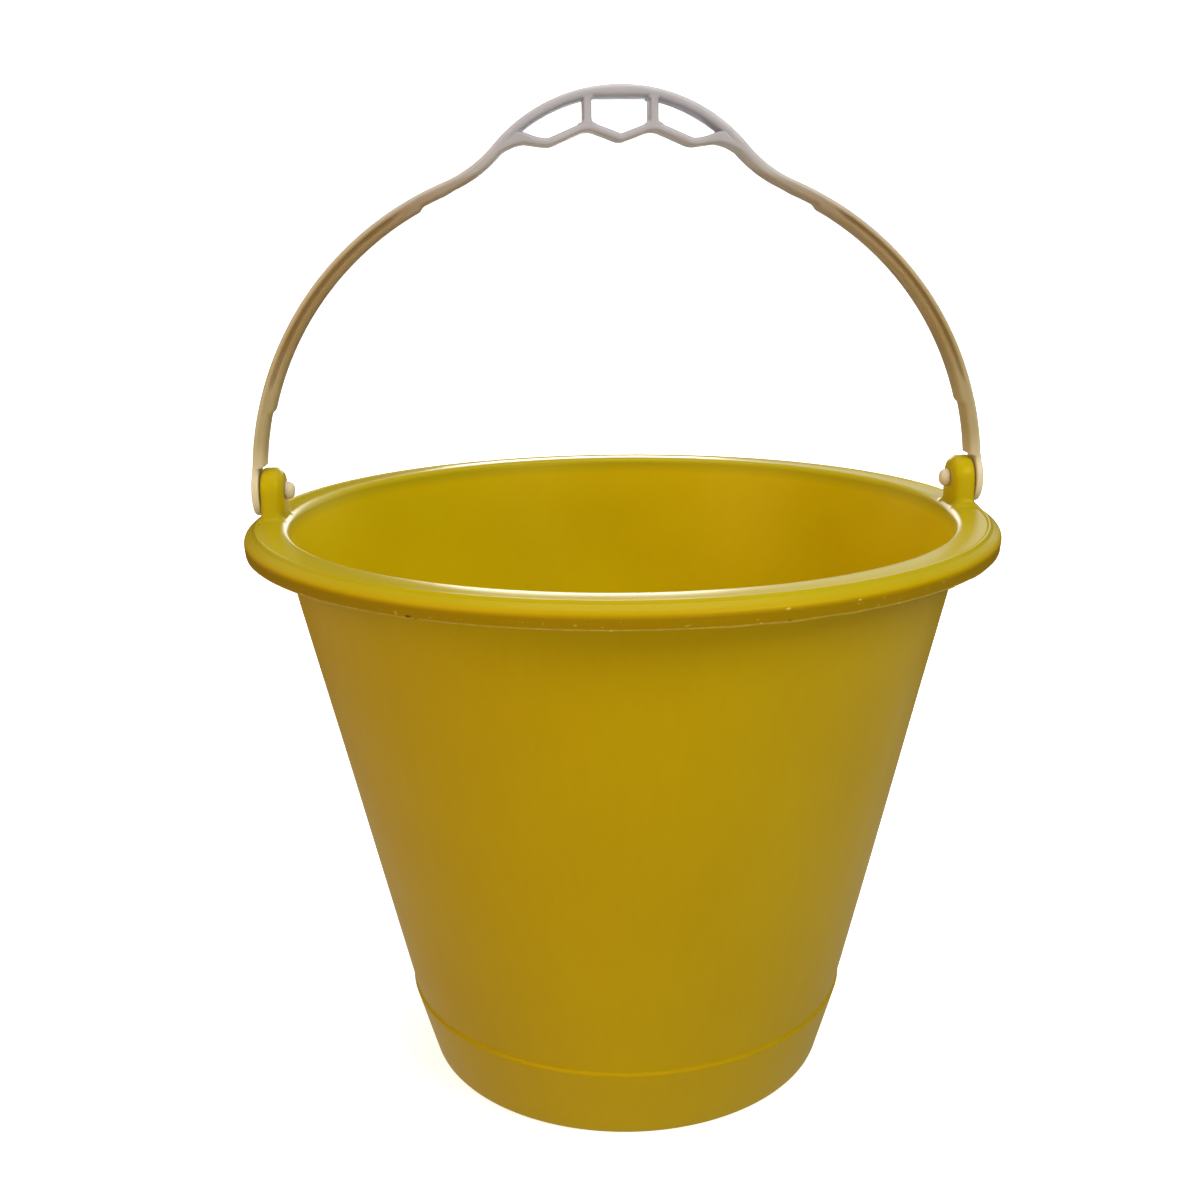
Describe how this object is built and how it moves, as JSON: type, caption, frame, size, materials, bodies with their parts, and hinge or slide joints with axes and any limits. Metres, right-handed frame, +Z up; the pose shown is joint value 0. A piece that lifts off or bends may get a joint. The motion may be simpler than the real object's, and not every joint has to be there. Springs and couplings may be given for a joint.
{
  "type": "bucket",
  "caption": "Round tapered plastic bucket with a stepped rim, upstanding ears and a swinging bail handle with an openwork finger grip.",
  "frame": {"origin": "on the bucket's axis, in the plane that the foot ring stands on", "axes": "+Z up along the bucket's axis, X along the bail's pin axis from ear to ear, Y the way the bail swings"},
  "size_m": [0.3, 0.3, 0.3952],
  "materials": {
    "bucket_plastic": "yellow moulded polyethylene, satin, a little waxy",
    "bail_plastic": "off-white moulded polypropylene, satin"
  },
  "bodies": {
    "bucket": {"bucket_shell": "bucket_plastic"},
    "bail": {"bail_handle": "bail_plastic"}
  },
  "joints": [
    {"name": "bail_swing", "type": "hinge", "parent": "bucket", "child": "bail", "pos_m": [0, 0, 0.243], "axis": [1, 0, 0], "range_deg": [-90, 90]}
  ]
}
